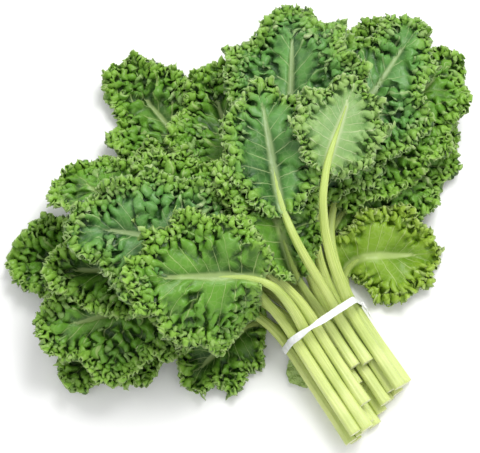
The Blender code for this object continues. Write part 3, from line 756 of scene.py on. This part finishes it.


# %% Blade finishes
# The first two colours are the painted shade green of hollows and the painted light green of crests; the
# third is the pale green of the painted highlight on raised margins, also mixed into the translucent light
def blade_finish(name, painted_shade_green, painted_light_green, edge, vein, bloom, is_under):
    finish = Finish(name)
    place = finish.place()
    index, out = finish.uv("leaf")
    margin = finish.value_of("from_margin")
    far = finish.math("ABSOLUTE", out)
    # side veins: the distance to the nearest whole number, thinner further out
    apart = finish.math("PINGPONG", finish.math("ADD", index, 0.5), 0.5)
    apart = finish.math("SUBTRACT", 0.5, apart)
    wander = finish.noise(place, 60.0, 2.0)
    apart = finish.math("ADD", apart, finish.math("MULTIPLY", finish.math("SUBTRACT", wander, 0.5), 0.10))
    apart = finish.math("ABSOLUTE", apart)
    width = finish.ramp(far, 0.0, 0.45, 0.05, 0.022)
    side = finish.math("SUBTRACT", 1.0, finish.ramp(finish.math("DIVIDE", apart, width), 0.3, 1.2))
    side = finish.math("MULTIPLY", side, finish.ramp(margin, 2.0, 9.0, 0.0, 1.0))
    rib = finish.math("SUBTRACT", 1.0, finish.ramp(far, 0.018, 0.05))
    # the fine net between them
    net_node = finish.add("ShaderNodeTexVoronoi", feature="DISTANCE_TO_EDGE")
    net_node.inputs["Scale"].default_value = 150.0
    warp = finish.add("ShaderNodeTexNoise")
    warp.inputs["Scale"].default_value = 120.0
    finish.put(warp.inputs["Vector"], place)
    bent = finish.add("ShaderNodeVectorMath", operation="MULTIPLY_ADD")
    finish.put(bent.inputs[0], warp.outputs["Color"])
    bent.inputs[1].default_value = (0.006, 0.006, 0.006)
    finish.put(bent.inputs[2], place)
    finish.put(net_node.inputs["Vector"], bent.outputs[0])
    net = finish.math("SUBTRACT", 1.0, finish.ramp(net_node.outputs["Distance"], 0.0, 0.10))
    veins = finish.math("MAXIMUM", finish.math("MAXIMUM", side, rib), finish.math("MULTIPLY", net, 0.22))
    # colour: painted shade in the hollows and painted light on the crests, read from the crest height and
    # shifted by random patches of tone
    crest = finish.value_of("crest")
    patch = finish.ramp(finish.noise(place, 22.0, 3.0), 0.35, 0.68, -0.3, 0.3)
    crest_light_and_tone = finish.ramp(finish.math("ADD", crest, patch), -1.0, 0.7)
    colour = finish.mix(crest_light_and_tone, painted_shade_green, painted_light_green)
    # painted highlight: the margin is painted paler where it stands up on a crest
    pale = finish.math("MULTIPLY", finish.ramp(margin, 1.0, 18.0, 0.9, 0.0), finish.ramp(crest, -0.5, 0.8))
    colour = finish.mix(pale, colour, edge)
    dust = finish.math("MULTIPLY", finish.ramp(finish.noise(place, 45.0, 4.0, 0.6), 0.45, 0.8), 0.35)
    dust = finish.math("MULTIPLY", dust, finish.ramp(margin, 6.0, 22.0))
    colour = finish.mix(dust, colour, bloom)
    colour = finish.mix(finish.math("MULTIPLY", veins, 0.8 if is_under else 0.62), colour, vein)
    rimline = finish.ramp(margin, 0.0, 0.9, 0.55, 0.0)
    colour = finish.mix(rimline, colour, vein)
    finish.put(finish.shader.inputs["Base Color"], colour)
    finish.shader.inputs["Roughness"].default_value = 0.55 if is_under else 0.4
    finish.shader.inputs["Specular IOR Level"].default_value = 0.4
    grain = finish.noise(place, 900.0, 2.0)
    quilt = finish.noise(place, 170.0, 2.0)
    sign = 1.0 if is_under else -1.0
    height = finish.math("MULTIPLY", veins, 0.9 * sign)
    height = finish.math("ADD", height, finish.math("MULTIPLY", quilt, 1.6))
    height = finish.math("ADD", height, finish.math("MULTIPLY", grain, 0.25))
    bumped = finish.bump(height, 0.6, 0.6 * MM)
    glow = finish.add("ShaderNodeBsdfTranslucent")
    finish.put(glow.inputs["Color"], finish.mix(0.5, colour, edge))
    finish.put(glow.inputs["Normal"], bumped)
    blend = finish.add("ShaderNodeMixShader")
    blend.inputs[0].default_value = 0.18
    output = finish.tree.nodes["Material Output"]
    finish.put(blend.inputs[1], finish.shader.outputs[0])
    finish.put(blend.inputs[2], glow.outputs[0])
    finish.put(output.inputs["Surface"], blend.outputs[0])
    return finish.material


BLUE_LEAVES = ("leaf_13", "leaf_14", "leaf_16", "leaf_18", "leaf_19")
green = (
    blade_finish("kale_green_upper", (0.02, 0.075, 0.003), (0.13, 0.33, 0.025), (0.27, 0.50, 0.06),
                 (0.44, 0.58, 0.20), (0.22, 0.38, 0.14), False),
    blade_finish("kale_green_under", (0.16, 0.32, 0.06), (0.24, 0.42, 0.10), (0.30, 0.50, 0.10),
                 (0.50, 0.62, 0.28), (0.36, 0.50, 0.24), True),
)
blue = (
    blade_finish("kale_blue_upper", (0.022, 0.085, 0.014), (0.115, 0.31, 0.055), (0.25, 0.46, 0.06),
                 (0.42, 0.56, 0.24), (0.22, 0.38, 0.20), False),
    blade_finish("kale_blue_under", (0.18, 0.34, 0.10), (0.25, 0.42, 0.13), (0.30, 0.48, 0.11),
                 (0.52, 0.62, 0.32), (0.38, 0.50, 0.30), True),
)
young = (
    blade_finish("kale_young_upper", (0.14, 0.28, 0.01), (0.23, 0.40, 0.02), (0.36, 0.54, 0.06),
                 (0.54, 0.66, 0.24), (0.36, 0.50, 0.14), False),
    blade_finish("kale_young_under", (0.20, 0.34, 0.05), (0.28, 0.42, 0.08), (0.34, 0.48, 0.10),
                 (0.55, 0.64, 0.30), (0.42, 0.52, 0.26), True),
)
for name, leaf in leaves.items():
    upper, under = blue if name in BLUE_LEAVES else young if name == "leaf_07" else green
    if name == "leaf_19":
        upper, under = under, upper
    leaf.data.materials.append(upper)
    leaf.data.materials.append(under)


# %% Stalk finishes
def stalk_finish():
    finish = Finish("kale_stalk_skin")
    place = finish.place()
    across, along = finish.uv("stalk")
    past = finish.value_of("from_blade")
    stretch = finish.add("ShaderNodeCombineXYZ")
    finish.put(stretch.inputs[0], finish.math("MULTIPLY", across, 9.0))
    finish.put(stretch.inputs[1], finish.math("MULTIPLY", along, 0.8))
    streaks = finish.ramp(finish.noise(stretch.outputs[0], 3.2, 4.0, 0.6), 0.35, 0.68)
    pale = finish.mix(streaks, (0.40, 0.52, 0.10), (0.62, 0.70, 0.22))
    near_cut = finish.ramp(along, 0.0, 1.4, 0.6, 0.0)
    pale = finish.mix(near_cut, pale, (0.70, 0.76, 0.32))
    patch = finish.ramp(finish.noise(place, 30.0, 2.0), 0.4, 0.7)
    pale = finish.mix(finish.math("MULTIPLY", patch, 0.3), pale, (0.28, 0.42, 0.05))
    greener = finish.ramp(past, -70.0, 60.0, 0.0, 0.75)
    colour = finish.mix(greener, pale, (0.34, 0.48, 0.10))
    finish.put(finish.shader.inputs["Base Color"], colour)
    finish.shader.inputs["Roughness"].default_value = 0.38
    finish.shader.inputs["Subsurface Weight"].default_value = 0.12
    finish.shader.inputs["Subsurface Radius"].default_value = (0.004, 0.004, 0.0015)
    finish.shader.inputs["Subsurface Scale"].default_value = 1.0
    finish.bump(finish.math("ADD", streaks, finish.noise(place, 500.0)), 0.35, 0.4 * MM)
    return finish.material


def paper_finish():
    finish = Finish("tie_paper_white")
    place = finish.place()
    fibres = finish.noise(place, 900.0, 3.0)
    creases = finish.noise(place, 160.0, 3.0, 0.6)
    # painted shade: the paper is darker where the crease pattern that the bump follows runs low
    painted_crease_shade = finish.ramp(creases, 0.35, 0.65)
    finish.put(finish.shader.inputs["Base Color"], finish.mix(painted_crease_shade, (0.74, 0.75, 0.74), (0.88, 0.89, 0.88)))
    finish.shader.inputs["Roughness"].default_value = 0.6
    height = finish.math("ADD", finish.math("MULTIPLY", fibres, 0.3), creases)
    finish.bump(height, 0.5, 0.5 * MM)
    return finish.material


def cut_finish():
    finish = Finish("kale_stalk_cut")
    place = finish.place()
    speck = finish.ramp(finish.noise(place, 700.0, 3.0), 0.4, 0.65)
    colour = finish.mix(speck, (0.62, 0.66, 0.36), (0.80, 0.82, 0.58))
    finish.put(finish.shader.inputs["Base Color"], colour)
    finish.shader.inputs["Roughness"].default_value = 0.5
    finish.bump(speck, 0.4, 0.3 * MM)
    return finish.material


skin, cut_face = stalk_finish(), cut_finish()
for rod in rods.values():
    rod.data.materials.append(skin)
    rod.data.materials.append(cut_face)
tie.data.materials.append(paper_finish())
leaflet.data.materials.append(green[0])


# %% A plain finish
def plain(name, colour, roughness):
    finish = Finish(name)
    finish.shader.inputs["Base Color"].default_value = (*colour, 1)
    finish.shader.inputs["Roughness"].default_value = roughness
    return finish.material


# %% [markdown]
# ## Floor, light and camera
# The bunch lies on a pale floor under an even white sky, with one soft lamp from the
# right. The camera looks down steeply, so that the whole fan of leaves shows.

# %% Floor
bpy.ops.object.select_all(action="DESELECT")
bpy.ops.mesh.primitive_plane_add(size=6.0, location=(0, 0, 0))
floor = bpy.context.object
floor.name = "floor"
floor.data.materials.append(plain("paper_white", (0.9, 0.9, 0.9), 0.9))

# %% Light
world = bpy.data.worlds.new("studio")
bpy.context.scene.world = world
world.use_nodes = True
world.node_tree.nodes["Background"].inputs["Color"].default_value = (1, 1, 1, 1)
world.node_tree.nodes["Background"].inputs["Strength"].default_value = 0.95


def area_light(name, place, target, size, power):
    data = bpy.data.lights.new(name, "AREA")
    data.size = size
    data.energy = power
    lamp = bpy.data.objects.new(name, data)
    lamp.location = place
    lamp.rotation_mode = "QUATERNION"
    lamp.rotation_quaternion = (Vector(target) - Vector(place)).to_track_quat("-Z", "Y")
    bpy.context.scene.collection.objects.link(lamp)
    return lamp


area_light("key", (0.9, 0.5, 1.8), (0, 0, 0.05), 0.8, 30)

# %% Camera
CAMERA_AZIMUTH = math.radians(-33)
CAMERA_ELEVATION = math.radians(78)
CAMERA_REACH = 1.62
CAMERA_TARGET = Vector((-24 * MM, 6 * MM, 49 * MM))
back = Vector((
    math.sin(CAMERA_AZIMUTH) * math.cos(CAMERA_ELEVATION),
    -math.cos(CAMERA_AZIMUTH) * math.cos(CAMERA_ELEVATION),
    math.sin(CAMERA_ELEVATION),
))
lens = bpy.data.cameras.new("camera")
lens.lens = 150
lens.sensor_width = 36
camera = bpy.data.objects.new("camera", lens)
bpy.context.scene.collection.objects.link(camera)
camera.location = CAMERA_TARGET + back * CAMERA_REACH
camera.rotation_mode = "QUATERNION"
camera.rotation_quaternion = (-back).to_track_quat("-Z", "Y")
bpy.context.scene.camera = camera
bpy.context.scene.view_settings.view_transform = "Standard"

# %% Boxes
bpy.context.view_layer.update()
print("cad", [round(v / MM) for v in (*cad_low, *cad_high)])
print("seconds", round(time.time() - STARTED))
